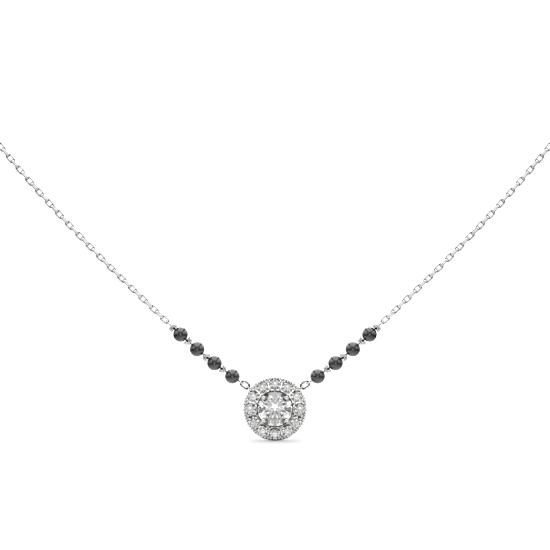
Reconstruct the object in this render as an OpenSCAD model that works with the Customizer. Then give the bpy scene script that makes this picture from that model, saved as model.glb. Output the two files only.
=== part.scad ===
// Short mangalsutra: a halo pendant, two strands of black beads and a fine cable chain in one loop.
// Lengths are in millimetres. X runs to the right as seen from the front, Y from the pendant back to
// the nape, and Z up. The origin is the centre of the clasp at the nape.

/* [Stones] */
// Diameter of the centre stone
centre_d = 4.9; // [4.2:0.1:5.6]
// Diameter of each small stone of the halo
halo_stone_d = 1.64; // [1.4:0.02:1.8]
// Table diameter as a share of a stone's diameter
table_share = 0.57; // [0.5:0.01:0.65]
// Girdle thickness of the centre stone
centre_girdle = 0.12; // [0.06:0.01:0.2]
// Girdle thickness of a halo stone
halo_girdle = 0.05; // [0.03:0.01:0.1]
// Slope of the crown facets in degrees
crown_slope = 34.5; // [30:0.5:38]
// Slope of the pavilion facets in degrees
pavilion_slope = 40.75; // [38:0.25:43]
// Gap between a stone and the metal that holds it
stone_gap = 0.03; // [0.02:0.005:0.05]

/* [Halo ring] */
// Thickness of the halo ring from front to back
halo_depth = 1.3; // [1.1:0.05:1.8]
// Open gap between the centre stone and the halo's inner wall
centre_gap = 0.12; // [0.08:0.01:0.3]
// Least metal between a seat and the halo's inner wall
inner_wall = 0.08; // [0.06:0.01:0.3]
// Metal outside a seat at the top of a scallop
rim_wall = 0.13; // [0.1:0.01:0.3]
// Metal between two neighbouring seats
seat_web = 0.1; // [0.06:0.01:0.3]
// How far the ring between two scallops stays inside their tops
scallop_depth = 0.12; // [0.06:0.01:0.2]
// Depth of the scallops along the rim
scallop_len = 0.8; // [0.5:0.05:1]
// Chamfer at the back of the halo ring
back_chamfer = 0.35; // [0.1:0.05:0.6]
// How far the ledge behind the centre stone reaches in from the halo's inner wall
ledge_w = 0.55; // [0.2:0.05:0.7]
// Thickness of that ledge
ledge_t = 0.35; // [0.25:0.05:0.5]
// Depth of the small stones' girdles under the halo's face
halo_sink = 0.1; // [0.05:0.01:0.2]
// Diameter of the open hole under each small stone
azure_d = 0.84; // [0.6:0.02:1]
// Diameter of the shared prong beads on the halo's face
prong_d = 0.38; // [0.3:0.01:0.42]
// Gap between a prong bead and the wall of the seats beside it
prong_gap = 0.01; // [0.005:0.005:0.03]
// Height of a prong bead's centre over the halo's face
prong_lift = 0.06; // [0:0.01:0.15]

/* [Claws and gallery] */
// Height of the centre stone's girdle over the halo's face
centre_lift = 0.3; // [0.1:0.05:0.5]
// Diameter of a claw's wire
claw_d = 0.56; // [0.45:0.01:0.7]
// How much thinner a claw's leg and neck are than its post
claw_taper = 0.06; // [0.04:0.01:0.1]
// Depth of a claw's post behind the halo's face
claw_depth = 1.15; // [0.9:0.05:1.3]
// How far a claw's post stands in front of the halo's inner wall, towards the stone
claw_bite = 0.24; // [0.1:0.01:0.28]
// Diameter of the bead that ends a claw
claw_tip_d = 0.64; // [0.55:0.01:0.8]
// How far a claw's tip is cut away to lie flat on the stone
tip_bite = 0.05; // [0.02:0.01:0.1]
// How far a claw's tip reaches in from its post
claw_reach = 0.32; // [0.2:0.01:0.5]
// Depth of the gallery ring's centre behind the halo's face
gallery_depth = 2.35; // [2:0.05:3]
// Radius of the gallery ring's centre line
gallery_r = 1.5; // [1.2:0.05:1.8]
// Diameter of the gallery ring's wire
gallery_wire_d = 0.56; // [0.4:0.02:0.7]

/* [Side loops and jump rings] */
// Angle of a side loop over the horizontal, seen from the front
loop_angle = 38.6; // [30:0.2:50]
// Depth of the side loops behind the halo's face, in line with the pendant's centre of mass
loop_depth = 0.66; // [0.5:0.01:0.9]
// Radius of a round eye's centre line, of the side loops and the strand wires
eye_r = 0.34; // [0.3:0.01:0.4]
// Wire diameter of the eyes
eye_wire_d = 0.22; // [0.16:0.01:0.26]
// How far a side loop is let into the halo's rim
loop_sink = 0.1; // [0.06:0.01:0.14]
// Distance between the two eyes that a jump ring joins
jump_reach = 1.26; // [1.2:0.02:1.8]
// Outer width of a jump ring
jump_w = 1.12; // [1.06:0.02:1.3]
// Wire diameter of a jump ring
jump_wire_d = 0.31; // [0.22:0.01:0.32]
// Direction of a jump ring over the horizontal
jump_angle = 33.8; // [25:0.2:45]

/* [Bead strands] */
// Diameter of a black bead
bead_d = 2.08; // [1.8:0.02:2.4]
// Diameter of the hole through a bead or spacer
bead_bore = 0.42; // [0.34:0.01:0.6]
// Outer diameter of a spacer's ring
spacer_d = 1.34; // [1.1:0.02:1.6]
// Thickness of a spacer from front to back
spacer_depth = 0.84; // [0.8:0.02:1]
// Diameter of the raised eye inside a spacer's ring
spacer_eye_d = 0.72; // [0.6:0.02:0.8]
// Diameter of the hole from front to back through that eye
spacer_hole_d = 0.26; // [0.2:0.02:0.3]
// How far the ring is let into the eye
spacer_sink = 0.02; // [0.01:0.01:0.04]
// Distance from a spacer's centre to its flat, which sits against its bead
spacer_flat = 0.19; // [0.17:0.01:0.4]
// Gap between a bead and what sits against it
seat_gap = 0.03; // [0.02:0.01:0.06]
// Free length of wire left between a spacer's round side and the next bead
strand_play = 0.15; // [0.1:0.01:0.5]
// Diameter of the strand's wire
strand_wire_d = 0.24; // [0.18:0.01:0.28]
// Direction of the strand at its lower eye, over the horizontal
strand_angle = 34; // [25:0.5:45]
// Radius of the strand's gentle curve
strand_r = 70; // [50:1:120]

/* [Cable chain] */
// Outer length of a link
link_len = 1.6; // [1.5:0.02:1.8]
// Outer width of a link
link_w = 0.92; // [0.88:0.01:1]
// Wire diameter of a link
link_wire_d = 0.22; // [0.18:0.01:0.24]
// End play between two hooked links
link_play = 0.117; // [0.1:0.001:0.15]
// Number of links modelled one by one at each side of the front
front_links = 34; // [20:1:40]
// Gap between the last of these links and the stretch round the neck
chain_gap = 0.15; // [0.1:0.01:0.3]

/* [Neck and clasp] */
// Distance from the front of the necklace to the nape
neck_depth = 100; // [90:1:120]
// Height of the clasp over the centre of the pendant
neck_drop = 96; // [80:1:120]
// How far the chain runs out straight to each side of the nape before it bends forward
nape_reach = 51; // [40:1:60]
// Radius of the ring clasp's centre line
clasp_r = 2.2; // [1.8:0.1:3]
// Thickness of the ring clasp
clasp_wire_d = 1; // [0.7:0.05:1.2]
// Diameter of the clasp's trigger knob
knob_d = 0.6; // [0.4:0.05:0.8]
// How far the knob stands out of the clasp
knob_len = 0.7; // [0.4:0.05:1]
// Radius of an end ring's centre line
end_ring_r = 0.92; // [0.85:0.01:1.1]
// Wire diameter of an end ring
end_wire_d = 0.24; // [0.18:0.01:0.28]
// Gap between a ring and what passes through it
ring_gap = 0.12; // [0.1:0.01:0.15]

/* [Hidden] */
SIDES = ["left", "right"];
HALO_STONES = 12;
CLAWS = 4;
BEADS = 4;
// A spacer sits beside a bead: the bead's number, then 1 above it or -1 below it
SPACER_SEATS = [[1, 1], [1, -1], [3, 1], [3, -1]];
function two_digits(n) = str(n < 10 ? "0" : "", n);

// Fineness of round parts and of meshed wires
ROUND = 48;
LINK_STATIONS = 10;
LINK_FACETS = 6;
JUMP_STATIONS = 16;
JUMP_FACETS = 8;
TUBE_SIDES = 8;
TUBE_RINGS = 40;
ROUTE_STEPS = 60;
// Length that makes a cut pass right through what it cuts
CUT_OVER = 1;

function crown_height(d) = d * (1 - table_share) / 2 * tan(crown_slope);
function pavilion_height(d) = d / 2 * tan(pavilion_slope);
function wrap(i, n) = (i + n) % n;

// Halo sizes that follow the stones
seat_r = halo_stone_d / 2 + stone_gap;
halo_inner_r = centre_d / 2 + centre_gap;
stone_ring_r = max(halo_inner_r + inner_wall + seat_r, (seat_r + seat_web / 2) / sin(180 / HALO_STONES));
scallop_r = seat_r + rim_wall;
halo_outer_r = stone_ring_r + scallop_r;
halo_base_r = halo_outer_r - scallop_depth;
prong_off_r = seat_r + prong_d / 2 + prong_gap;
claw_at_r = halo_inner_r + claw_d / 2 - claw_bite;
loop_at_r = halo_base_r + eye_r + eye_wire_d / 2 - loop_sink;

// Radii at which a prong bead lies clear of the two seats beside it
half_step = 180 / HALO_STONES;
prong_side = stone_ring_r * sin(half_step);
prong_radial = sqrt(pow(prong_off_r, 2) - pow(prong_side, 2));
prong_rings = [stone_ring_r * cos(half_step) + prong_radial, stone_ring_r * cos(half_step) - prong_radial];

// Where the pendant hangs, and the strand from its side loop up to the chain
front_at = [0, -neck_depth, -neck_drop];
function direction(a) = [cos(a), 0, sin(a)];
loop_at = loop_at_r * direction(loop_angle);
lower_eye_at = loop_at + jump_reach * direction(jump_angle);
eye_out = eye_r + eye_wire_d / 2;
spacer_len = spacer_flat + spacer_d / 2;
bead_pitch = bead_d + seat_gap + spacer_len + strand_play;
function bead_s(i) = eye_out + seat_gap + bead_d / 2 + (BEADS - i) * bead_pitch;
function spacer_bead(i) = SPACER_SEATS[i - 1][0];
function spacer_way(i) = SPACER_SEATS[i - 1][1];
spacer_off = bead_d / 2 + seat_gap + spacer_flat;
function spacer_s(i) = bead_s(spacer_bead(i)) + spacer_way(i) * spacer_off;
upper_eye_s = spacer_s(1) + spacer_d / 2 + seat_gap + eye_out;

// The strand is one gentle arc from eye to eye
function arc_turn(s) = s / strand_r * 180 / PI;
function turn(s) = strand_angle + arc_turn(s);
arc_centre = lower_eye_at + strand_r * [-sin(strand_angle), 0, cos(strand_angle)];
function strand_at(s) = arc_centre + strand_r * [sin(turn(s)), 0, -cos(turn(s))];

// The chain's route: two curves from the upper eye round the neck to the end ring.
// The first points are measured from the eye and the last ones from the end ring.
upper_eye_at = strand_at(upper_eye_s) - [0, neck_depth, neck_drop];
end_ring_x = clasp_r - clasp_wire_d / 2 - ring_gap - end_wire_d / 2 + end_ring_r;
route_end = [end_ring_x + end_ring_r + end_wire_d / 2 + chain_gap, 0, 0];
ROUTE = [
    upper_eye_at,
    upper_eye_at + [8.4, 0, 7.9],
    upper_eye_at + [16.3, 0, 15.9],
    upper_eye_at + [23.5, 0, 24.9],
    upper_eye_at + [49.6, 0, 57.5],
    route_end + [nape_reach, 0, 0],
    route_end
];
function bezier(p, i, t) = p[i] * pow(1 - t, 3) + 3 * p[i + 1] * t * pow(1 - t, 2)
    + 3 * p[i + 2] * t * t * (1 - t) + p[i + 3] * pow(t, 3);
route_points = concat(
    [for (k = [0:ROUTE_STEPS - 1]) bezier(ROUTE, 0, k / ROUTE_STEPS)],
    [for (k = [0:ROUTE_STEPS]) bezier(ROUTE, 3, k / ROUTE_STEPS)]
);
route_s = [for (
    k = 0, s = 0;
    k < len(route_points);
    k = k + 1, s = s + (k < len(route_points) ? norm(route_points[k] - route_points[k - 1]) : 0)
) s];
route_table = [for (axis = [0:2]) [for (k = [0:len(route_s) - 1]) [route_s[k], route_points[k][axis]]]];
route_len = route_s[len(route_s) - 1];
function route_at(s) = [for (axis = [0:2]) lookup(s, route_table[axis])];
function route_way(s) = let (step = 0.4, d = route_at(s + step) - route_at(s - step)) d / norm(d);

// Links are hooked at one even pitch; the first one hangs in the upper eye
link_pitch = link_len - 2 * link_wire_d - link_play;
function link_s(i) = (link_len - link_wire_d) / 2 + i * link_pitch;
back_start_s = link_s(front_links - 1) + link_len / 2 + chain_gap;

METAL = "silver";
BEAD = "dimgray";
STONE = "aliceblue";

// A round brilliant with its table up and the middle of its girdle at the origin
module brilliant(d, girdle) {
    r = d / 2;
    crown = crown_height(d);
    pavilion = pavilion_height(d);
    table_r = r * table_share;
    // Where the star, kite and girdle facets meet, halfway out, and where the lower halves end
    star_r = (table_r * cos(22.5) + r) / 2;
    star_z = girdle / 2 + crown * (r - star_r * cos(22.5)) / (r - table_r);
    lower_r = r * 0.22;
    lower_z = -girdle / 2 - pavilion * (1 - lower_r * cos(22.5) / r);
    function at(radius, angle, z) = [radius * cos(angle), radius * sin(angle), z];
    function table(i) = wrap(i, 8);
    function star(i) = 8 + wrap(i, 8);
    function top(i) = 16 + wrap(i, 16);
    function bottom(i) = 32 + wrap(i, 16);
    function lower(i) = 48 + wrap(i, 8);
    culet = 56;
    polyhedron(
        points = concat(
            [for (i = [0:7]) at(table_r, 45 * i, girdle / 2 + crown)],
            [for (i = [0:7]) at(star_r, 45 * i + 22.5, star_z)],
            [for (i = [0:15]) at(r, 22.5 * i, girdle / 2)],
            [for (i = [0:15]) at(r, 22.5 * i, -girdle / 2)],
            [for (i = [0:7]) at(lower_r, 45 * i + 22.5, lower_z)],
            [[0, 0, -girdle / 2 - pavilion]]
        ),
        faces = concat(
            [[for (i = [7:-1:0]) table(i)]],
            [for (i = [0:7]) [table(i), table(i + 1), star(i)]],
            [for (i = [0:7]) [table(i), star(i), top(2 * i), star(i - 1)]],
            [for (i = [0:7]) [star(i), top(2 * i + 1), top(2 * i)]],
            [for (i = [0:7]) [star(i), top(2 * i + 2), top(2 * i + 1)]],
            [for (i = [0:15]) [top(i), top(i + 1), bottom(i + 1), bottom(i)]],
            [for (i = [0:7]) [lower(i), bottom(2 * i), bottom(2 * i + 1)]],
            [for (i = [0:7]) [lower(i), bottom(2 * i + 1), bottom(2 * i + 2)]],
            [for (i = [0:7]) [culet, lower(i - 1), bottom(2 * i), lower(i)]]
        )
    );
}

// The round hollow that a stone needs, a gap wider than the stone all round
module stone_hollow(d, girdle) {
    r = d / 2;
    rotate_extrude($fn = ROUND) polygon([
        [0, -girdle / 2 - pavilion_height(d) - stone_gap],
        [r + stone_gap, -girdle / 2],
        [r + stone_gap, girdle / 2 + stone_gap],
        [r * table_share + stone_gap, girdle / 2 + crown_height(d) + stone_gap],
        [0, girdle / 2 + crown_height(d) + stone_gap]
    ]);
}

// A straight round wire from one point to another
module rod(from, to, d) {
    way = to - from;
    translate(from) rotate([0, acos(way.z / norm(way)), atan2(way.y, way.x)])
        cylinder(h = norm(way), d = d, $fn = ROUND);
}

// A round ring about the Z axis
module ring(r, d) {
    rotate_extrude($fn = ROUND) translate([r, 0]) circle(d = d, $fn = ROUND);
}

// A closed wire link along X, lying in the XY plane, with half-round ends
module link(length, width, wire_d, stations, facets) {
    bend_r = (width - wire_d) / 2;
    half = (length - width) / 2;
    per_end = stations / 2;
    function station(i) = let (
        right = i < per_end,
        a = right ? -90 + 180 * i / (per_end - 1) : 90 + 180 * (i - per_end) / (per_end - 1),
        out = [cos(a), sin(a), 0]
    ) [[right ? half : -half, 0, 0] + bend_r * out, out];
    polyhedron(
        points = [for (i = [0:stations - 1], j = [0:facets - 1])
            let (s = station(i), a = 360 * j / facets)
                s[0] + wire_d / 2 * (cos(a) * s[1] + sin(a) * [0, 0, 1])],
        faces = [for (i = [0:stations - 1], j = [0:facets - 1])
            let (i2 = (i + 1) % stations, j2 = (j + 1) % facets)
                [i * facets + j, i2 * facets + j, i2 * facets + j2, i * facets + j2]]
    );
}

// Pendant pieces are drawn facing up and then stood upright in the front of the necklace
module hang() {
    translate(front_at - [0, loop_depth, 0]) rotate([90, 0, 0]) children();
}

module around(n, first = 0) {
    for (i = [0:n - 1]) rotate(first + 360 * i / n) children();
}

// Bead, spacer and wire pieces are drawn along Z and then set on the strand
module on_strand(s) {
    translate(front_at + strand_at(s)) rotate([0, 90 - turn(s), 0]) children();
}

module sided(side) {
    if (side == "left") mirror([1, 0, 0]) children();
    else children();
}

// The ring with its chamfered back, the ledge inside it and the scallops round the small stones
module halo_ring() {
    rotate_extrude($fn = ROUND) polygon([
        [halo_inner_r, 0],
        [halo_base_r, 0],
        [halo_base_r, back_chamfer - halo_depth],
        [halo_base_r - back_chamfer, -halo_depth],
        [halo_inner_r - ledge_w, -halo_depth],
        [halo_inner_r - ledge_w, ledge_t - halo_depth],
        [halo_inner_r, ledge_t - halo_depth]
    ]);
    around(HALO_STONES) translate([0, stone_ring_r, -scallop_len])
        cylinder(h = scallop_len, r = scallop_r, $fn = ROUND);
}

// One seat: a straight wall round the girdle, a cone under the stone and an open hole below
module seat() {
    wall_z = -halo_sink - halo_girdle / 2 - stone_gap;
    cone_z = wall_z - (seat_r - azure_d / 2) * tan(pavilion_slope);
    rotate_extrude($fn = ROUND) polygon([
        [0, CUT_OVER],
        [seat_r, CUT_OVER],
        [seat_r, wall_z],
        [azure_d / 2, cone_z],
        [azure_d / 2, -halo_depth - CUT_OVER],
        [0, -halo_depth - CUT_OVER]
    ]);
}

// One claw: a leg up from the gallery, a post beside the stone and a tip bent in over its crown.
// The leg and the tip's neck are a little thinner than the post, and end inside it.
module claw() {
    thin_d = claw_d - claw_taper;
    tip_r = claw_at_r - claw_reach;
    crown_z = centre_lift + centre_girdle / 2 + (centre_d / 2 - tip_r) * tan(crown_slope);
    tip = [tip_r, 0, crown_z + claw_tip_d / 2 / cos(crown_slope) - tip_bite];
    rod([gallery_r, 0, -gallery_depth], [claw_at_r, 0, claw_d / 2 - claw_depth], thin_d);
    rod([claw_at_r, 0, -claw_depth], [claw_at_r, 0, centre_lift], claw_d);
    rod([claw_at_r, 0, centre_lift - claw_d / 2], tip, thin_d);
    translate(tip) sphere(d = claw_tip_d, $fn = ROUND);
}

module side_loops() {
    for (a = [loop_angle, 180 - loop_angle])
        rotate(a) translate([loop_at_r, 0, -loop_depth]) rotate([90, 0, 0]) ring(eye_r, eye_wire_d);
}

module halo_setting() {
    color(METAL) hang() {
        difference() {
            union() {
                halo_ring();
                around(CLAWS, 360 / CLAWS / 2) claw();
            }
            translate([0, 0, centre_lift]) stone_hollow(centre_d, centre_girdle);
            around(HALO_STONES) translate([0, stone_ring_r, 0]) seat();
        }
        for (r = prong_rings)
            around(HALO_STONES, half_step) translate([0, r, prong_lift]) sphere(d = prong_d, $fn = ROUND);
        translate([0, 0, -gallery_depth]) ring(gallery_r, gallery_wire_d);
        side_loops();
    }
}

module centre_stone() {
    color(STONE) hang() translate([0, 0, centre_lift]) brilliant(centre_d, centre_girdle);
}

// The small stones are numbered clockwise from the top one, seen from the front
module halo_stone(i) {
    color(STONE) hang() rotate(-360 / HALO_STONES * (i - 1))
        translate([0, stone_ring_r, -halo_sink]) brilliant(halo_stone_d, halo_girdle);
}

module bored(length) {
    difference() {
        children();
        translate([0, 0, -length]) cylinder(h = 2 * length, d = bead_bore, $fn = ROUND);
    }
}

module black_bead(side, i) {
    color(BEAD) sided(side) on_strand(bead_s(i)) bored(bead_d) sphere(d = bead_d, $fn = ROUND);
}

// A ring about the Z axis whose section is as thick as a spacer, with a half-round front and back
module rounded_band(inner_r, outer_r) {
    w = outer_r - inner_r;
    rotate_extrude($fn = ROUND) translate([(inner_r + outer_r) / 2, 0]) {
        square([w, spacer_depth - w], center = true);
        for (way = [-1, 1]) translate([0, way * (spacer_depth - w) / 2]) circle(d = w, $fn = ROUND);
    }
}

// A spacer is a ring round a raised eye, seen face on and drilled for the strand's wire.
// It is flat where it meets its bead, and its round side faces away.
module spacer(side, i) {
    color(METAL) sided(side) on_strand(spacer_s(i)) rotate([spacer_way(i) > 0 ? 0 : 180, 0, 0])
        bored(spacer_d) intersection() {
            rotate([90, 0, 0]) {
                rounded_band(spacer_hole_d / 2, spacer_eye_d / 2);
                rounded_band(spacer_eye_d / 2 - spacer_sink, spacer_d / 2);
            }
            translate([-spacer_d, -spacer_d, -spacer_flat]) cube([2 * spacer_d, 2 * spacer_d, spacer_d]);
        }
}

// The wire runs from the outside of one eye to the outside of the other
module strand_wire(side) {
    color(METAL) sided(side) {
        translate(front_at + arc_centre) rotate([90, 0, 0]) rotate(turn(eye_r) - 90)
            rotate_extrude(angle = arc_turn(upper_eye_s - 2 * eye_r), $fn = 360)
                translate([strand_r, 0]) circle(d = strand_wire_d, $fn = ROUND);
        for (s = [0, upper_eye_s]) on_strand(s) rotate([0, 90, 0]) ring(eye_r, eye_wire_d);
    }
}

module jump_ring(side) {
    color(METAL) sided(side) translate(front_at + (loop_at + lower_eye_at) / 2)
        rotate([0, -jump_angle, 0]) rotate([90, 0, 0])
            link(jump_reach + jump_wire_d, jump_w, jump_wire_d, JUMP_STATIONS, JUMP_FACETS);
}

// Every second link lies face on, and the ones between are turned on edge
module chain(side) {
    color(METAL) sided(side) for (i = [0:front_links - 1]) {
        way = route_way(link_s(i));
        translate(route_at(link_s(i))) rotate([i % 2 == 0 ? 90 : 0, -asin(way.z), atan2(way.y, way.x)])
            link(link_len, link_w, link_wire_d, LINK_STATIONS, LINK_FACETS);
    }
}

// The stretch round the neck: one tube as wide as the chain, swept along the route
module chain_back(side) {
    function ring_points(s) = let (
        way = route_way(s),
        flat = cross([0, 0, 1], way),
        across = flat / norm(flat),
        up = cross(way, across)
    ) [for (j = [0:TUBE_SIDES - 1]) let (a = 360 * j / TUBE_SIDES)
        route_at(s) + link_w / 2 * (cos(a) * across + sin(a) * up)];
    step = (route_len - back_start_s) / (TUBE_RINGS - 1);
    last = (TUBE_RINGS - 1) * TUBE_SIDES;
    color(METAL) sided(side) polyhedron(
        points = [for (i = [0:TUBE_RINGS - 1]) each ring_points(back_start_s + i * step)],
        faces = concat(
            [[for (j = [0:TUBE_SIDES - 1]) j]],
            [for (i = [0:TUBE_RINGS - 2], j = [0:TUBE_SIDES - 1])
                let (a = i * TUBE_SIDES, j2 = (j + 1) % TUBE_SIDES)
                    [a + j, a + TUBE_SIDES + j, a + TUBE_SIDES + j2, a + j2]],
            [[for (j = [TUBE_SIDES - 1:-1:0]) last + j]]
        )
    );
}

module end_ring(side) {
    color(METAL) sided(side) translate([end_ring_x, 0, 0]) ring(end_ring_r, end_wire_d);
}

module clasp() {
    color(METAL) {
        rotate([90, 0, 0]) ring(clasp_r, clasp_wire_d);
        translate([0, 0, clasp_r]) cylinder(h = clasp_wire_d / 2 + knob_len, d = knob_d, $fn = ROUND);
    }
}

halo_setting();
centre_stone();
for (i = [1:HALO_STONES])
    halo_stone(i);
for (side = SIDES, i = [1:BEADS])
    black_bead(side, i);
for (side = SIDES, i = [1:len(SPACER_SEATS)])
    spacer(side, i);
for (side = SIDES) {
    strand_wire(side);
    jump_ring(side);
    chain(side);
    chain_back(side);
    end_ring(side);
}
clasp();
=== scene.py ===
"""Looks of a short mangalsutra: a halo pendant on black bead strands and a fine cable chain."""

import math
import random

import bmesh
import bpy
import numpy as np
from mathutils import Matrix, Vector


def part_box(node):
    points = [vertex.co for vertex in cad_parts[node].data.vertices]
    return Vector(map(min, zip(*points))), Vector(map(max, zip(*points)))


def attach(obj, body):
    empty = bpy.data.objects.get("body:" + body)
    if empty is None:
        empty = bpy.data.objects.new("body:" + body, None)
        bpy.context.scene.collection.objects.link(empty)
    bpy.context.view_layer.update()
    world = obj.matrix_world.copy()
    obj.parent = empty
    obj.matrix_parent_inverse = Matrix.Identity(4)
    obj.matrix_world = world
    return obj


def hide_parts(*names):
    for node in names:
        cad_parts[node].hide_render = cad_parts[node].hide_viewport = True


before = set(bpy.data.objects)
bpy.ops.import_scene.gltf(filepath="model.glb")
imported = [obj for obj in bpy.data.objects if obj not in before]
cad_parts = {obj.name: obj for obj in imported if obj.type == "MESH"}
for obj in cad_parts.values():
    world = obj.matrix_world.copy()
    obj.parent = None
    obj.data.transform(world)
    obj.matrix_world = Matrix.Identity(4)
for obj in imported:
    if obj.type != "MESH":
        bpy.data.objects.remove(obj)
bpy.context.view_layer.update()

MM = 0.001
SIDES = {"left": -1, "right": 1}


def solid_box(node):
    """Lowest and highest corner of a solid, in millimetres."""
    return [np.array(corner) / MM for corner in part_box(node)]


HALO_LOW, HALO_HIGH = solid_box("halo_setting")
BEAD_LOW, BEAD_HIGH = solid_box("black_bead_right_1")
SPACER_LOW, SPACER_HIGH = solid_box("spacer_right_1")
JUMP_LOW, JUMP_HIGH = solid_box("jump_ring_right")
END_RING_LOW, END_RING_HIGH = solid_box("end_ring_right")

# Lengths below are in millimetres, and angles in degrees.

# Middle of the halo, in the plane in which both strands hang
FRONT = np.array([0.0, (BEAD_LOW[1] + BEAD_HIGH[1]) / 2, (HALO_LOW[2] + HALO_HIGH[2]) / 2])

# Jump rings: how far out of the halo's middle their lower end is, the reach from there to the upper
# end, the width of the oval and its wire
LOOP_R = 4.71
LOOP_ANGLE = 38.6
JUMP_REACH = 1.26
JUMP_ANGLE = 33.8
JUMP_W = 1.12
JUMP_WIRE = JUMP_HIGH[1] - JUMP_LOW[1]

# Strand: its slope at the lower eye, the radius of its gentle curve, and how far up its upper eye is
STRAND_ANGLE = 34.0
STRAND_R = 70.0
UPPER_EYE_S = 13.29

# Spacers from the top down: how far up the strand each is, and 1 where its flat faces down the strand
SPACERS = [(12.14, 1), (9.62, -1), (5.9, 1), (3.38, -1)]
SPACER_DEPTH = SPACER_HIGH[1] - SPACER_LOW[1]
SPACER_R = 0.67
SPACER_FLAT = 0.19

# Eye in a spacer's face and the drilled pit in the eye: the tip of the pit is this far in front of the
# spacer's middle, its cone rises this much, and its faces get painted shade from this far behind the face
EYE_R = 0.36
PIT_R = 0.16
PIT_TIP_R = 0.02
PIT_TIP = 0.06
PIT_CONE = 0.12
PIT_DARK = 0.09
PIT_SPARE = 0.002

# Chain links: the oval, its flattened wire, the distance from link to link, and how far one turns
LINK_LEN = 1.56
LINK_W = 0.94
LINK_WIRE = 0.24
LINK_THICK = 0.44
LINK_PITCH = 1.043
LINK_PLAY = 4
LINK_SEEDS = {"left": 7, "right": 11}

# Power of a wire's section: 2 is round, and more is squarer
ROUND_POWER = 2.0
LINK_POWER = 3.0

# Chain's route: handles seen from the strand's upper eye, then the end and its reach sideways
ROUTE_BENDS = [(8.4, 0, 7.9), (16.3, 0, 15.9), (23.5, 0, 24.9), (49.6, 0, 57.5)]
ROUTE_END = np.array([3.57, 0.0, 0.0])
NAPE_REACH = 51.0

# Ring at the end of the chain, and how closely the last link lies against its wire
END_WIRE = 0.24
END_RING_X = (END_RING_LOW[0] + END_RING_HIGH[0]) / 2
END_RING_R = (END_RING_HIGH[0] - END_RING_LOW[0] - END_WIRE) / 2
LINK_REST = 0.04

# Halo's face, which is in front of the strands' plane, and its rim
FACE_AHEAD = 0.66
FACE_Y = FRONT[1] - FACE_AHEAD
HALO_R = (HALO_HIGH[0] - HALO_LOW[0]) / 2

# Grains on the rim: how many, their size, and how far inside the rim and in front of the face
GRAINS = 66
GRAIN_D = 0.38
GRAIN_INSET = 0.2
GRAIN_LIFT = 0.02

# Polished edge of the rim: its thickness, its length to the back, and how far back its middle is
EDGE_T = 0.14
EDGE_LEN = 0.4
EDGE_BACK = 0.26

# Dark arcs of painted shade in the groove round the centre stone: they reach this far to each side of the
# middle between two claws, their back and front are heights over the face, and both front corners are cut
GROOVE_REACH = 36
GROOVE_INNER_R = 2.38
GROOVE_OUTER_R = 2.6
GROOVE_BACK = -0.05
GROOVE_FRONT = 0.12
GROOVE_OUTER_CUT = 0.05
GROOVE_INNER_CUT = 0.03

# Steps of the meshes: along and around a wire, around a form, and over a curve
JUMP_STEPS = (64, 24)
LINK_STEPS = (24, 16)
EDGE_STEPS = (192, 12)
SPACER_AROUND = 72
ROLL_STEPS = 13
ROUTE_STEPS = 400
GRAIN_ROWS = 7
GRAIN_AROUND = 14
GROOVE_STEPS = 25
SHEET_STEPS = 96

# Distance at which two points become one, and angle between two faces from which their edge is sharp
WELD = 1e-5
SHARP_FROM = 50

# Photograph's view: its width at the pendant, how far it looks down, how far away the eye is, and how
# far over the halo's middle it looks. The last line is how near and far it sees, in metres.
VIEW_W = 77.0
VIEW_RISE = 4.0
VIEW_FAR = 600.0
VIEW_UP = 18.75
SENSOR_W = 36.0
CLIP_M = (0.01, 10.0)

# Paper sheet under the pendant, how much its reflection fades, and from and to how far out
FLOOR_GAP = 0.06
FLOOR_Z = HALO_LOW[2] - FLOOR_GAP
SHEET_R = 45.0
FADE_SHARE = 0.55
FADE_FROM = 8
FADE_TO = 30

# Light tent: its overall strength, the strength of each light, and how bright the ground behind looks
TENT_GAIN = 1.5
TOP_LIGHT = 1.75
SIDE_LIGHT = 1.7
FRONT_LIGHT = 0.4
SPOT_LIGHT = 1.3
BACK_LIGHT = 0.4
STRAY_LIGHT = 0.05
GROUND_LIGHT = 1.6

# Top panel's half width for each unit of height, the side panels' upper and lower slope, the slopes at
# which a side panel is dark and full, and how softly the panels end at their sides, feet and fronts
TOP_SPREAD = 0.65
SIDE_RISE = 1.1
SIDE_DROP = -0.2
SIDE_SHADE = (-1 / 3, 0.926)
SOFT_SIDE = 0.05
SOFT_FOOT = 0.06
SOFT_FRONT = 0.1

# Places in the tent, as shares of a ray's length. An edge is the two values between which a light
# fades, and the edges of the spots and of the dark doors are squares of their radius.
SPOT_UP = -0.06
SPOT_EDGE = (0.016, 0.032)
DOOR_UP = -0.05
DOOR_OUT = 0.53
DOOR_EDGE = (0.02, 0.05)
FRONT_EDGE = (0.55, 0.7)
BACK_EDGE = (-0.985, -0.93)
DIM_EDGE = (-0.95, -0.8)


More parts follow.
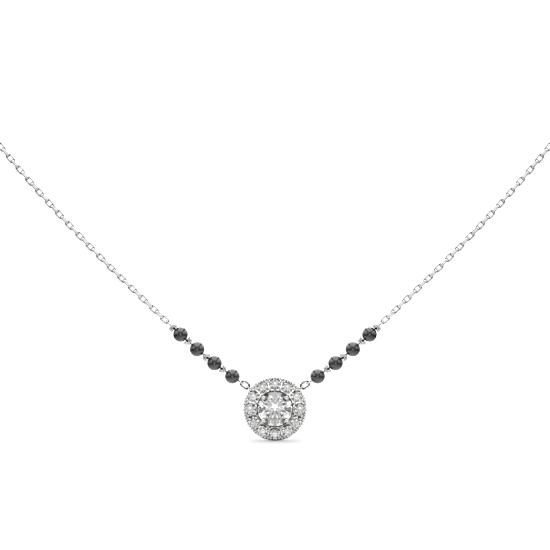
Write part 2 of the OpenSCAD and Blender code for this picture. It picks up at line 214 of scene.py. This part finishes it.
class Number:
    """A number on a shader socket, so that shader maths is written as plain arithmetic."""

    def __init__(self, finish, socket):
        self.finish = finish
        self.socket = socket

    def _math(self, operation, *values):
        node = self.finish.node("ShaderNodeMath", {"operation": operation}, dict(enumerate(values)))
        return Number(self.finish, node.outputs[0])

    def __add__(self, other):
        return self._math("ADD", self, other)

    def __radd__(self, other):
        return self._math("ADD", other, self)

    def __sub__(self, other):
        return self._math("SUBTRACT", self, other)

    def __rsub__(self, other):
        return self._math("SUBTRACT", other, self)

    def __mul__(self, other):
        return self._math("MULTIPLY", self, other)

    def __rmul__(self, other):
        return self._math("MULTIPLY", other, self)

    def __truediv__(self, other):
        return self._math("DIVIDE", self, other)

    def __pow__(self, other):
        return self._math("POWER", self, other)

    def step(self, low, high):
        """Rises smoothly from 0 at low to 1 at high."""
        node = self.finish.node(
            "ShaderNodeMapRange",
            {"interpolation_type": "SMOOTHSTEP"},
            {"Value": self, "From Min": low, "From Max": high},
        )
        return Number(self.finish, node.outputs["Result"])


class Finish:
    """A node tree in the making: of a material or of the light tent."""

    def __init__(self, owner):
        owner.use_nodes = True
        self.tree = owner.node_tree
        self.tree.nodes.clear()

    def node(self, kind, settings=None, sockets=None):
        """A new node: its settings are set first, then the values or links of its sockets."""
        node = self.tree.nodes.new(kind)
        for name, value in (settings or {}).items():
            setattr(node, name, value)
        for name, value in (sockets or {}).items():
            self.feed(node.inputs[name], value)
        return node

    def feed(self, socket, value):
        """Sets a socket to a value, or links it to a number or to another socket."""
        if isinstance(value, Number):
            value = value.socket
        if isinstance(value, bpy.types.NodeSocket):
            self.tree.links.new(value, socket)
        else:
            socket.default_value = value

    def number(self, socket):
        """The number on a socket, ready for arithmetic."""
        return Number(self, socket)

    def grain(self, size, detail=2.0, squeeze=(1, 1, 1)):
        """Noise from 0 to 1 with lumps of about this size in millimetres, squeezed along each axis."""
        place = self.node("ShaderNodeTexCoord").outputs["Object"]
        scaled = self.node("ShaderNodeVectorMath", {"operation": "MULTIPLY"}, {0: place, 1: squeeze})
        return self.mottle(scaled.outputs[0], 1 / (size * MM), detail)

    def mottle(self, place, scale, detail):
        """Noise from 0 to 1 over any place or direction, with so many lumps to a unit."""
        sockets = {"Vector": place, "Scale": scale, "Detail": detail}
        return self.number(self.node("ShaderNodeTexNoise", None, sockets).outputs["Fac"])

    def painted_shade(self, reach, dark_below, bright_above):
        """Painted shade: from 0 in corners that are closed in within this reach in millimetres, to 1 on
        open faces.

        The other two are shares of the sky that a place has open.
        """
        # Ambient occlusion, turned into a share of painted shade
        node = self.node("ShaderNodeAmbientOcclusion", {"samples": 8}, {"Distance": reach * MM})
        return self.number(node.outputs["AO"]).step(dark_below, bright_above)

    def blend(self, share, low, high):
        """A colour between low and high, which are colours, by a share from 0 to 1."""
        node = self.node("ShaderNodeMix", {"data_type": "RGBA"}, {0: share, 6: (*low, 1), 7: (*high, 1)})
        return node.outputs[2]

    def relief(self, height, depth):
        """A bump whose height, from 0 to 1, stands for a depth in millimetres."""
        return self.node("ShaderNodeBump", None, {"Height": height, "Distance": depth * MM}).outputs[0]


def grey(tone):
    """A neutral colour of this tone."""
    return (tone, tone, tone)


def surface(name, **sockets):
    """A material with one Principled surface. Each socket is a value, or a function of the finish."""
    material = bpy.data.materials.new(name)
    finish = Finish(material)
    ready = {k.replace("_", " "): v(finish) if callable(v) else v for k, v in sockets.items()}
    shader = finish.node("ShaderNodeBsdfPrincipled", None, ready)
    finish.node("ShaderNodeOutputMaterial", None, {"Surface": shader.outputs[0]})
    return material


def polished_metal(name, dark, bright, corners, clouds, gloss, scratches):
    """A metal from dark in its corners, where shade is painted, to bright. The last four are functions of
    the finish.
    """
    return surface(
        name,
        # Painted shade in the corners, times the cloudiness
        Base_Color=lambda f: f.blend(corners(f) * clouds(f), dark, bright),
        Metallic=1.0,
        Roughness=gloss,
        Normal=scratches,
    )


def white_gold():
    """Rhodium plated white gold: a mirror polish with hairlines and a little cloudiness, and painted shade
    in its corners.
    """
    return polished_metal(
        "white_gold",
        dark=grey(0.02),
        bright=(0.69, 0.69, 0.68),
        # Painted shade in the corners
        corners=lambda f: f.painted_shade(reach=0.5, dark_below=0.28, bright_above=0.87),
        clouds=lambda f: 0.93 + 0.07 * f.grain(size=0.6),
        gloss=lambda f: 0.03 + 0.07 * f.grain(size=0.25, detail=4.0, squeeze=(1, 1, 5)),
        scratches=lambda f: f.relief(f.grain(size=0.12, detail=3.0, squeeze=(1, 1, 6)), depth=0.0012),
    )


def ring_wire():
    """Bright white gold wire of the jump rings, with painted shade where a ring faces its own other side.
    """
    return polished_metal(
        "ring_wire",
        dark=grey(0.01),
        bright=(0.5, 0.5, 0.49),
        # Painted shade where the ring closes in on itself
        corners=lambda f: f.painted_shade(reach=1.2, dark_below=0.7, bright_above=0.98),
        clouds=lambda f: 0.94 + 0.06 * f.grain(size=0.4),
        gloss=lambda f: 0.08 + 0.08 * f.grain(size=0.2, detail=4.0),
        scratches=lambda f: f.relief(f.grain(size=0.1, detail=3.0), depth=0.001),
    )


def chain_wire():
    """Drawn white gold wire of the links, tumbled bright, with painted shade where the links close in on
    each other.
    """
    return polished_metal(
        "chain_wire",
        dark=grey(0.03),
        bright=grey(0.8),
        # Painted shade where the links close in on each other
        corners=lambda f: f.painted_shade(reach=0.8, dark_below=0.72, bright_above=0.99),
        clouds=lambda f: 0.95 + 0.05 * f.grain(size=0.5),
        gloss=lambda f: 0.28 + 0.12 * f.grain(size=0.15, detail=3.0),
        scratches=lambda f: f.relief(f.grain(size=0.1, detail=3.0), depth=0.0012),
    )


def cut_stone():
    """Colourless stone with polished facets."""
    return surface(
        "cut_stone",
        Base_Color=lambda f: f.blend(f.grain(size=1.5), (0.83, 0.825, 0.815), grey(0.89)),
        Roughness=0.0,
        IOR=2.42,
        Transmission_Weight=1.0,
    )


def painted_pit_shade():
    """Painted shade: near black in the drilled eyes of the spacers, standing in for the shade that no
    light gets into.
    """
    return surface(
        "painted_pit_shade",
        Base_Color=lambda f: f.blend(f.grain(size=0.1, detail=3.0), grey(0.0005), grey(0.003)),
        Roughness=lambda f: 0.6 + 0.3 * f.grain(size=0.1),
        Specular_IOR_Level=0.05,
    )


def groove_shade():
    """Painted shade: dull dark metal that stands in for the shade in the groove round the centre stone."""
    return surface(
        "groove_shade",
        Base_Color=lambda f: f.blend(f.grain(size=0.4, detail=3.0), grey(0.05), grey(0.13)),
        Metallic=0.6,
        Roughness=lambda f: 0.45 + 0.2 * f.grain(size=0.2),
    )


def black_bead():
    """Polished black bead: very dark, glossy, with faint clouds and rubbing."""
    return surface(
        "black_bead",
        Base_Color=lambda f: f.blend(f.grain(size=0.5, detail=3.0), grey(0.002), grey(0.008)),
        Roughness=lambda f: 0.03 + 0.07 * f.grain(size=0.2, detail=4.0),
        IOR=1.82,
        Normal=lambda f: f.relief(f.grain(size=0.3), depth=0.0008),
    )


def paper():
    """White paper with painted shadows of the pendant. The eye sees it white with a wide painted shadow,
    and reflections see a near painted shadow and the paper fade away from the pendant.
    """
    material = bpy.data.materials.new("paper")
    finish = Finish(material)
    fleck = finish.grain(size=0.8, detail=4.0)
    foot = [float(v) for v in (FRONT[0] * MM, FRONT[1] * MM, FLOOR_Z * MM)]
    place = finish.node("ShaderNodeTexCoord").outputs["Object"]
    away = finish.node("ShaderNodeVectorMath", {"operation": "DISTANCE"}, {0: place, 1: foot})
    far_out = finish.number(away.outputs["Value"]).step(FADE_FROM * MM, FADE_TO * MM)
    # Painted shadows of the pendant on the paper: a near one for reflections, a wide one for the eye
    near_shadow = finish.painted_shade(reach=5.0, dark_below=0.3, bright_above=1.0)
    wide_shadow = finish.painted_shade(reach=14.0, dark_below=0.75, bright_above=1.0)

    # Reflections see the near painted shadow, darker away from the pendant; the eye sees the wide painted
    # shadow
    reflected_share = (0.04 * fleck + 0.96 * near_shadow) * (1 - FADE_SHARE * far_out)
    reflected_colour = finish.blend(reflected_share, grey(0.02), grey(0.92))
    seen_colour = finish.blend(0.1 * fleck + 0.9 * wide_shadow, grey(0.47), grey(0.63))
    dull = {"Roughness": 0.8, "Specular IOR Level": 0.1}
    glow = {"Emission Strength": 0.25, "Emission Color": (1, 1, 1, 1)}
    reflected = finish.node("ShaderNodeBsdfPrincipled", None, {"Base Color": reflected_colour, **dull})
    seen = finish.node("ShaderNodeBsdfPrincipled", None, {"Base Color": seen_colour, **dull, **glow})

    eye = finish.node("ShaderNodeLightPath").outputs["Is Camera Ray"]
    mix = finish.node("ShaderNodeMixShader", None, {0: eye, 1: reflected.outputs[0], 2: seen.outputs[0]})
    finish.node("ShaderNodeOutputMaterial", None, {"Surface": mix.outputs[0]})
    return material


def new_piece(name, points, faces, material):
    """A smooth mesh object from points in metres, with one material."""
    mesh = bpy.data.meshes.new(name)
    mesh.from_pydata([tuple(p) for p in points], [], [tuple(f) for f in faces])
    mesh.validate()
    shell = bmesh.new()
    shell.from_mesh(mesh)
    bmesh.ops.recalc_face_normals(shell, faces=shell.faces)
    shell.to_mesh(mesh)
    shell.free()
    mesh.materials.append(material)
    mesh.shade_smooth()
    mesh.set_sharp_from_angle(angle=math.radians(SHARP_FROM))
    piece = bpy.data.objects.new(name, mesh)
    bpy.context.scene.collection.objects.link(piece)
    return piece


def trim_piece(name, points, faces, material):
    """A piece of thin metal trim, or of painted shade, that moves with the pendant."""
    piece = new_piece(name, points, faces, material)
    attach(piece, "pendant")


def direction(degrees):
    """The way at this angle over the horizontal, seen from the front."""
    a = math.radians(degrees)
    return np.array([math.cos(a), 0.0, math.sin(a)])


def strand_point(side, along):
    """Centre of the strand this far up from its lower eye, and its way up there."""
    lower = FRONT + LOOP_R * direction(LOOP_ANGLE) + JUMP_REACH * direction(JUMP_ANGLE)
    turn = STRAND_ANGLE + math.degrees(along / STRAND_R)
    place = lower + STRAND_R * direction(STRAND_ANGLE + 90) - STRAND_R * direction(turn + 90)
    return place * [SIDES[side], 1, 1], direction(turn) * [SIDES[side], 1, 1]


def chain_line():
    """Points of the chain's route on the right side, from the strand's upper eye to the end ring."""
    eye, _ = strand_point("right", UPPER_EYE_S)
    handles = [eye, *(eye + bend for bend in ROUTE_BENDS), ROUTE_END + [NAPE_REACH, 0, 0], ROUTE_END]
    t = np.linspace(0, 1, ROUTE_STEPS)[:, None]
    curves = []
    for a, b, c, d in (handles[0:4], handles[3:7]):
        curves.append(a * (1 - t) ** 3 + 3 * b * t * (1 - t) ** 2 + 3 * c * t * t * (1 - t) + d * t**3)
    # The last link hangs in the end ring, so the line runs on into it
    last = np.array([[END_RING_X + END_RING_R - (END_WIRE + LINK_WIRE) / 2 - LINK_REST, 0.0, 0.0]])
    return np.concatenate([curves[0], curves[1][1:], last])


def oval_link(length, width, wire, thick, power, stations, facets):
    """Points round the wire of one oval link, which lies in XY with its length along X.

    The wire is this wide in the link's plane and this thick across it.
    """
    bend = (width - wire) / 2
    half = (length - width) / 2
    points = []
    for end, first in ((half, -90), (-half, 90)):
        for k in range(stations // 2):
            a = math.radians(first + 180 * k / (stations // 2 - 1))
            out = np.array([math.cos(a), math.sin(a), 0.0])
            for j in range(facets):
                b = 2 * math.pi * j / facets
                c, s = math.cos(b), math.sin(b)
                swell = (abs(c) ** power + abs(s) ** power) ** (-1 / power)
                place = (bend + wire / 2 * c * swell) * out + [0, 0, thick / 2 * s * swell]
                points.append(place + [end, 0, 0])
    return np.array(points)


def loop_faces(stations, facets, first=0):
    """Quads of a closed wire of so many stations and facets."""
    faces = []
    for i in range(stations):
        for j in range(facets):
            i2, j2 = (i + 1) % stations, (j + 1) % facets
            faces.append([first + a * facets + b for a, b in ((i, j), (i2, j), (i2, j2), (i, j2))])
    return faces


def jump_rings(material):
    """The oval rings that join the halo's loops to the strands."""
    ring = oval_link(JUMP_REACH + JUMP_WIRE, JUMP_W, JUMP_WIRE, JUMP_WIRE, ROUND_POWER, *JUMP_STEPS)
    face_on = Matrix.Rotation(math.radians(90), 3, "X")
    turn = np.array(Matrix.Rotation(math.radians(-JUMP_ANGLE), 3, "Y") @ face_on)
    middle = FRONT + LOOP_R * direction(LOOP_ANGLE) + JUMP_REACH / 2 * direction(JUMP_ANGLE)
    for side, sign in SIDES.items():
        points = (ring @ turn.T + middle) * [sign, 1, 1]
        piece = new_piece(f"jump_link_{side}", points * MM, loop_faces(*JUMP_STEPS), material)
        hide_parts(f"jump_ring_{side}")
        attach(piece, "root")


def lathed(profile, around):
    """Points and faces of a closed form turned round Y, from pairs of radius and height to the front."""
    points, faces = [], []
    for r, h in profile:
        for i in range(around):
            a = 2 * math.pi * (i + 0.5) / around
            points.append((r * math.cos(a), -h, r * math.sin(a)))
    for k in range(len(profile) - 1):
        for i in range(around):
            i2 = (i + 1) % around
            faces.append([k * around + i, (k + 1) * around + i, (k + 1) * around + i2, k * around + i2])
    faces.append(list(range(around)))
    faces.append([(len(profile) - 1) * around + i for i in range(around)])
    return points, faces


def cut_flat(points, faces, flat):
    """Points and faces of a closed form that is cut off square, this far out towards -X, and closed."""
    mesh = bpy.data.meshes.new("uncut_form")
    mesh.from_pydata(points, [], faces)
    form = bmesh.new()
    form.from_mesh(mesh)
    bpy.data.meshes.remove(mesh)
    bmesh.ops.remove_doubles(form, verts=form.verts, dist=WELD)
    whole = form.verts[:] + form.edges[:] + form.faces[:]
    bmesh.ops.bisect_plane(form, geom=whole, plane_co=(-flat, 0, 0), plane_no=(-1, 0, 0), clear_outer=True)
    bmesh.ops.holes_fill(form, edges=[e for e in form.edges if e.is_boundary], sides=0)
    form.verts.index_update()
    cut_points = np.array([v.co[:] for v in form.verts])
    cut_faces = [[v.index for v in f.verts] for f in form.faces]
    form.free()
    return cut_points, cut_faces


def spacer_form():
    """Points and faces of one spacer: a ring round a raised eye, its flat towards -X."""
    front = [(PIT_TIP_R, PIT_TIP), (PIT_R, PIT_TIP + PIT_CONE)]
    for inner, outer in ((PIT_R, EYE_R), (EYE_R, SPACER_R)):
        middle, roll = (inner + outer) / 2, (outer - inner) / 2
        for a in np.linspace(-math.pi / 2, math.pi / 2, ROLL_STEPS):
            front.append((middle + roll * math.sin(a), SPACER_DEPTH / 2 - roll + roll * math.cos(a)))
    back = [(r, -h) for r, h in front[::-1]]
    return cut_flat(*lathed(front + back, SPACER_AROUND), SPACER_FLAT)


def spacer_rings(material, pit):
    """The spacer beside each bead, drilled in front and flat where it meets its bead."""
    form, faces = spacer_form()
    for side in SIDES:
        for number, (along, way_sign) in enumerate(SPACERS, 1):
            middle, way = strand_point(side, along)
            turn = np.array([way * way_sign, [0, 1, 0], [-way[2], 0, way[0]]])
            piece = new_piece(f"spacer_ring_{side}_{number}", (form @ turn + middle) * MM, faces, material)
            # The faces down in each pit get the near black painted shade
            piece.data.materials.append(pit)
            for face in piece.data.polygons:
                x, y, z = np.array(face.center) / MM - middle
                if math.hypot(x, z) < PIT_R + PIT_SPARE and abs(y) < SPACER_DEPTH / 2 - PIT_DARK:
                    face.material_index = 1
            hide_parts(f"spacer_{side}_{number}")
            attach(piece, "root")


def link_turn(way, roll):
    """Turn that lays a link's length along this way and rolls the link about it."""
    yaw = Matrix.Rotation(math.atan2(way[1], way[0]), 3, "Z")
    pitch = Matrix.Rotation(-math.asin(way[2]), 3, "Y")
    return np.array(yaw @ pitch @ Matrix.Rotation(math.radians(roll), 3, "X"))


def cable_chain(side, material):
    """The whole cable chain of one side, link by link. Every second link lies face on."""
    line = chain_line() * [SIDES[side], 1, 1]
    along = np.concatenate([[0], np.cumsum(np.linalg.norm(np.diff(line, axis=0), axis=1))])
    inner = LINK_LEN - LINK_WIRE
    count = 2 * round((along[-1] - inner) / LINK_PITCH / 2) + 1
    link = oval_link(LINK_LEN, LINK_W, LINK_WIRE, LINK_THICK, LINK_POWER, *LINK_STEPS)
    play = random.Random(LINK_SEEDS[side])
    points, faces = [], []
    for i in range(count):
        middle = inner / 2 + (along[-1] - inner) * i / (count - 1)
        span = (middle - inner / 2, middle + inner / 2)
        lower, upper = (np.array([np.interp(s, along, axis) for axis in line.T]) for s in span)
        way = (upper - lower) / np.linalg.norm(upper - lower)
        roll = (90 if i % 2 == 0 else 0) + play.uniform(-LINK_PLAY, LINK_PLAY)
        faces.extend(loop_faces(*LINK_STEPS, len(points)))
        points.extend((link @ link_turn(way, roll).T + (lower + upper) / 2) * MM)
    piece = new_piece(f"cable_chain_{side}", points, faces, material)
    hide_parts(f"chain_{side}", f"chain_back_{side}")
    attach(piece, "root")


def grain_ball(middle, out, first):
    """Points and faces of one grain, a ball whose poles lie in front and behind."""
    front = np.array([0.0, -1.0, 0.0])
    side = np.array([out[2], 0.0, -out[0]])
    points, faces = [], []
    for r in range(1, GRAIN_ROWS):
        b = math.pi * r / GRAIN_ROWS
        for k in range(GRAIN_AROUND):
            c = 2 * math.pi * k / GRAIN_AROUND
            way = math.cos(b) * front + math.sin(b) * (math.cos(c) * side + math.sin(c) * out)
            points.append((middle + GRAIN_D / 2 * way) * MM)
    points.append((middle + GRAIN_D / 2 * front) * MM)
    points.append((middle - GRAIN_D / 2 * front) * MM)
    last = first + (GRAIN_ROWS - 2) * GRAIN_AROUND
    front_pole, back_pole = last + GRAIN_AROUND, last + GRAIN_AROUND + 1
    for k in range(GRAIN_AROUND):
        k2 = (k + 1) % GRAIN_AROUND
        faces.append([first + k2, first + k, front_pole])
        faces.append([last + k, last + k2, back_pole])
        for row in range(first, last, GRAIN_AROUND):
            faces.append([row + k, row + k2, row + GRAIN_AROUND + k2, row + GRAIN_AROUND + k])
    return points, faces


def rim_grains(material):
    """The row of small grains raised round the rim of the halo, one beside the other."""
    points, faces = [], []
    for i in range(GRAINS):
        out = direction(90 - 360 * (i + 0.5) / GRAINS)
        middle = np.array([0, FACE_Y - GRAIN_LIFT, FRONT[2]]) + (HALO_R - GRAIN_INSET) * out
        ball_points, ball_faces = grain_ball(middle, out, len(points))
        points.extend(ball_points)
        faces.extend(ball_faces)
    trim_piece("halo_rim_grains", points, faces, material)


def rim_edge(material):
    """The smooth polished edge of the halo, just behind the grains."""
    stations, facets = EDGE_STEPS
    middle = np.array([0.0, FACE_Y + EDGE_BACK, FRONT[2]])
    points = []
    for i in range(stations):
        out = direction(360 * i / stations)
        for k in range(facets):
            a = 2 * math.pi * k / facets
            swell = [0, EDGE_LEN / 2 * math.sin(a), 0]
            points.append((middle + (HALO_R - EDGE_T / 2 + EDGE_T / 2 * math.cos(a)) * out + swell) * MM)
    trim_piece("halo_rim_edge", points, loop_faces(stations, facets), material)


def shaded_groove(material):
    """Dark arcs of painted shade that show round the edge of the centre stone, between one claw and the
    next.
    """
    section = [
        (GROOVE_INNER_R, GROOVE_BACK),
        (GROOVE_OUTER_R, GROOVE_BACK),
        (GROOVE_OUTER_R, GROOVE_FRONT - GROOVE_OUTER_CUT),
        (GROOVE_OUTER_R - GROOVE_OUTER_CUT, GROOVE_FRONT),
        (GROOVE_INNER_R + GROOVE_INNER_CUT, GROOVE_FRONT),
        (GROOVE_INNER_R, GROOVE_FRONT - GROOVE_INNER_CUT),
    ]
    around = len(section)
    points, faces = [], []
    for quarter in range(4):
        first = len(points)
        for a in np.linspace(-GROOVE_REACH, GROOVE_REACH, GROOVE_STEPS) + 90 * quarter:
            for r, h in section:
                points.append((np.array([0.0, FACE_Y - h, FRONT[2]]) + r * direction(a)) * MM)
        last = len(points) - around
        for row in range(first, last, around):
            for k in range(around):
                k2 = (k + 1) % around
                faces.append([row + k, row + around + k, row + around + k2, row + k2])
        faces.append([first + k for k in range(around)])
        faces.append([last + k for k in range(around)])
    # These arcs are painted shade, not part of the setting
    trim_piece("girdle_painted_shade", points, faces, material)


def paper_sheet():
    """The round white sheet that the pendant hangs just above."""
    middle = np.array([FRONT[0], FRONT[1], FLOOR_Z])
    turns = np.arange(SHEET_STEPS) * 2 * math.pi / SHEET_STEPS
    rim = [middle + SHEET_R * np.array([math.cos(a), math.sin(a), 0]) for a in turns]
    sheet = new_piece("paper_sheet", np.array(rim) * MM, [range(SHEET_STEPS)], paper())


def top_panel(ahead, up, out):
    """The panel overhead, wider the steeper a ray rises, and open towards the eye."""
    return (TOP_SPREAD * up - out).step(0.0, SOFT_SIDE) * (up - ahead).step(0.0, SOFT_FRONT)


def side_panels(ahead, up, out):
    """A panel on each side, from its foot up to the seam under the top panel, brighter higher up."""
    slope = up / (out + 0.001)
    under_seam = (SIDE_RISE * out - up).step(0.0, SOFT_SIDE)
    over_foot = (slope - SIDE_DROP).step(0.0, SOFT_FOOT)
    beside = (out - ahead).step(0.0, SOFT_FRONT)
    return under_seam * over_foot * beside * slope.step(*SIDE_SHADE)


def off_patch(across, rise, edge):
    """From 0 in the middle of a round patch to 1 outside it."""
    return (across**2.0 + rise**2.0).step(*edge)


def light_tent():
    """A soft light tent: panels above and beside, open seams between them, and a dim front.

    A light is a share from 0 to 1 over the ways that a ray can take. Ahead is how far the ray goes
    towards the eye, up is how far it rises, and out is how far it goes to either side.
    """
    world = bpy.data.worlds.new("light_tent")
    bpy.context.scene.world = world
    tent = Finish(world)
    place = tent.node("ShaderNodeTexCoord").outputs["Generated"]
    x, y, z = (tent.number(o) for o in tent.node("ShaderNodeSeparateXYZ", None, {0: place}).outputs)
    rise = math.radians(VIEW_RISE)
    ahead = math.sin(rise) * z - math.cos(rise) * y
    up = math.sin(rise) * y + math.cos(rise) * z
    out = (x * x) ** 0.5
    rays = tent.node("ShaderNodeLightPath").outputs
    seen = tent.number(rays["Is Camera Ray"])
    through = tent.number(rays["Is Transmission Ray"])

    # The panels are dimmer behind the pendant
    panels = TOP_LIGHT * top_panel(ahead, up, out) + SIDE_LIGHT * side_panels(ahead, up, out)
    panels = panels * (0.3 + 0.7 * ahead.step(*DIM_EDGE))
    behind = 1 - ahead.step(*BACK_EDGE)

    # A dim front with a dark door on each side, and a spot straight ahead with another one opposite
    front = ahead.step(*FRONT_EDGE) * off_patch(out - DOOR_OUT, up - DOOR_UP, DOOR_EDGE)
    spots = 1 - off_patch(out, up - SPOT_UP, SPOT_EDGE)
    small_lights = FRONT_LIGHT * front + SPOT_LIGHT * spots

    # Light that comes through a stone is patchy, and has less of the front and the spots
    patches = tent.mottle(place, scale=9.0, detail=1.0).step(0.42, 0.58)
    patchy = 1 + through * (0.8 * patches - 0.6)
    lights = panels + small_lights * (1 - 0.85 * through) + BACK_LIGHT * behind + STRAY_LIGHT
    strength = TENT_GAIN * lights * patchy * (1 - seen) + GROUND_LIGHT * seen
    background = tent.node("ShaderNodeBackground", None, {"Color": (1, 1, 1, 1), "Strength": strength})
    tent.node("ShaderNodeOutputWorld", None, {"Surface": background.outputs[0]})


def camera():
    """The photograph's view, from the front and a little above."""
    data = bpy.data.cameras.new("camera")
    data.sensor_width = SENSOR_W
    data.lens = SENSOR_W * VIEW_FAR / VIEW_W
    data.clip_start, data.clip_end = CLIP_M
    eye = bpy.data.objects.new("camera", data)
    rise = math.radians(VIEW_RISE)
    back = np.array([0.0, -math.cos(rise), math.sin(rise)])
    eye.location = Vector((FRONT + [0, 0, VIEW_UP] + VIEW_FAR * back) * MM)
    eye.rotation_euler = (math.radians(90 - VIEW_RISE), 0, 0)
    bpy.context.scene.collection.objects.link(eye)
    bpy.context.scene.camera = eye


def dress(node, material):
    """Gives a carried over solid its finish."""
    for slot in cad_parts[node].material_slots:
        slot.material = material


camera()
light_tent()
paper_sheet()

METAL = white_gold()
CHAIN = chain_wire()
STONE = cut_stone()
BEAD = black_bead()
# Painted shade for the spacers' pits
PIT = painted_pit_shade()
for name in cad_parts:
    if name.startswith(("centre_stone", "halo_stone")):
        dress(name, STONE)
    elif name.startswith("black_bead"):
        dress(name, BEAD)
    else:
        dress(name, METAL)
for side_name in SIDES:
    cable_chain(side_name, CHAIN)
rim_grains(METAL)
rim_edge(METAL)
spacer_rings(METAL, PIT)
jump_rings(ring_wire())
# Dark arcs of painted shade round the centre stone
shaded_groove(groove_shade())

bpy.context.scene.view_settings.view_transform = "Standard"
